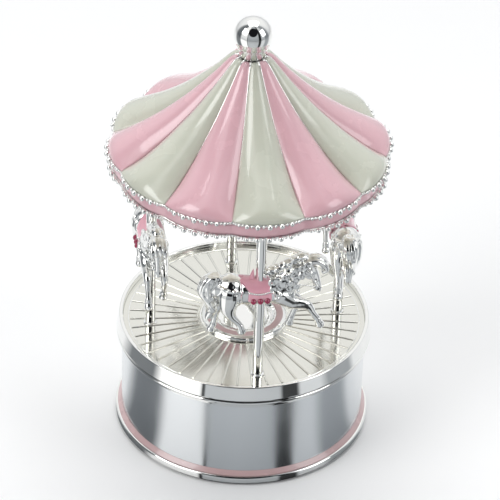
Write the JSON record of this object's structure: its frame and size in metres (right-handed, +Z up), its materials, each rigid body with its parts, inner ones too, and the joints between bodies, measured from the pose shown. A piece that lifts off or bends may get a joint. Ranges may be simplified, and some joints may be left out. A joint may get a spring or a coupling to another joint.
{
  "type": "carousel music box",
  "caption": "Silver-plated musical carousel: drum base with a clockwork movement, turning mirror platform, horses on poles, scalloped rose and cream enamel canopy",
  "frame": {"origin": "centre of the underside, on the carousel's axis, where the felt meets the table", "axes": "+Z is up the carousel's axis; -Y faces the viewer, with the front pole 9.1 degrees to the viewer's right"},
  "size_m": [0.121, 0.121, 0.1999],
  "materials": {
    "silver_plate": "polished silver plate over cast and pressed metal",
    "silver_satin": "silver plate with a soft satin sheen",
    "enamel_rose": "glossy rose enamel",
    "enamel_cream": "glossy greenish cream enamel",
    "enamel_ring": "glossy dusty rose enamel",
    "enamel_deep_rose": "glossy deep rose enamel",
    "stone": "faceted dark rose glass stones",
    "steel": "bright steel",
    "brass": "machined brass",
    "felt": "black felt"
  },
  "bodies": {
    "base": {"base_flange": "silver_plate", "base_enamel_ring": "enamel_ring", "felt_ring": "felt", "drum_wall": "silver_satin", "drum_rim": "silver_plate", "bottom_plate": "steel", "bottom_screws": "steel", "deck_plate": "steel", "deck_bush": "brass", "bedplate": "brass", "bedplate_screws": "steel", "spring_housing": "steel", "bearing_near": "brass", "bearing_far": "brass", "comb_base": "brass", "comb": "steel", "comb_screws": "steel", "governor_frame": "steel"},
    "carousel": {"platform_skirt": "silver_plate", "platform_floor": "silver_plate", "centre_ring": "silver_plate", "centre_ring_enamel": "enamel_ring", "hub": "silver_plate", "hub_screws": "steel", "spindle": "steel", "crown_wheel": "brass", "pole_right": "silver_plate", "pole_back": "silver_plate", "pole_left": "silver_plate", "pole_front": "silver_plate", "pole_nuts_lower": "steel", "pole_nuts_upper": "steel", "horse_right": "silver_plate", "horse_back": "silver_plate", "horse_left": "silver_plate", "horse_front": "silver_plate", "saddle_right": "enamel_deep_rose", "saddle_back": "enamel_deep_rose", "saddle_left": "enamel_deep_rose", "saddle_front": "enamel_deep_rose", "gems_right": "stone", "gems_back": "stone", "gems_left": "stone", "gems_front": "stone", "ceiling_plate": "silver_plate", "canopy_shell": "silver_plate", "canopy_enamel_rose": "enamel_rose", "canopy_enamel_cream": "enamel_cream", "rim_enamel": "enamel_rose", "bead_row_upper": "silver_plate", "bead_row_lower": "silver_plate", "finial_collar": "silver_plate", "finial": "silver_plate"},
    "cylinder": {"tune_cylinder": "brass", "cylinder_arbor": "steel"},
    "governor_wheel_body": {"governor_wheel": "brass"},
    "fan": {"governor_fan": "steel"},
    "key": {"winding_key": "steel"}
  },
  "joints": [
    {"name": "carousel_spin", "type": "hinge", "parent": "base", "child": "carousel", "pos_m": [0, 0, 0.0415], "axis": [0, 0, 1], "continuous": true},
    {"name": "cylinder_spin", "type": "hinge", "parent": "base", "child": "cylinder", "pos_m": [0.0245, 0, 0.0274], "axis": [-1, 0, 0], "continuous": true},
    {"name": "governor_wheel_spin", "type": "hinge", "parent": "base", "child": "governor_wheel_body", "pos_m": [0.039, 0.0084, 0.0274], "axis": [1, 0, 0], "continuous": true},
    {"name": "fan_spin", "type": "hinge", "parent": "base", "child": "fan", "pos_m": [0.04, 0.014, 0.0274], "axis": [0, 0, -1], "continuous": true},
    {"name": "key_turn", "type": "hinge", "parent": "base", "child": "key", "pos_m": [0, 0, 0.0134], "axis": [0, 0, 1], "continuous": true}
  ],
  "couplings": [
    {"joint": "cylinder_spin", "follows": "carousel_spin", "ratio": 4},
    {"joint": "governor_wheel_spin", "follows": "carousel_spin", "ratio": 12},
    {"joint": "fan_spin", "follows": "carousel_spin", "ratio": 120}
  ]
}
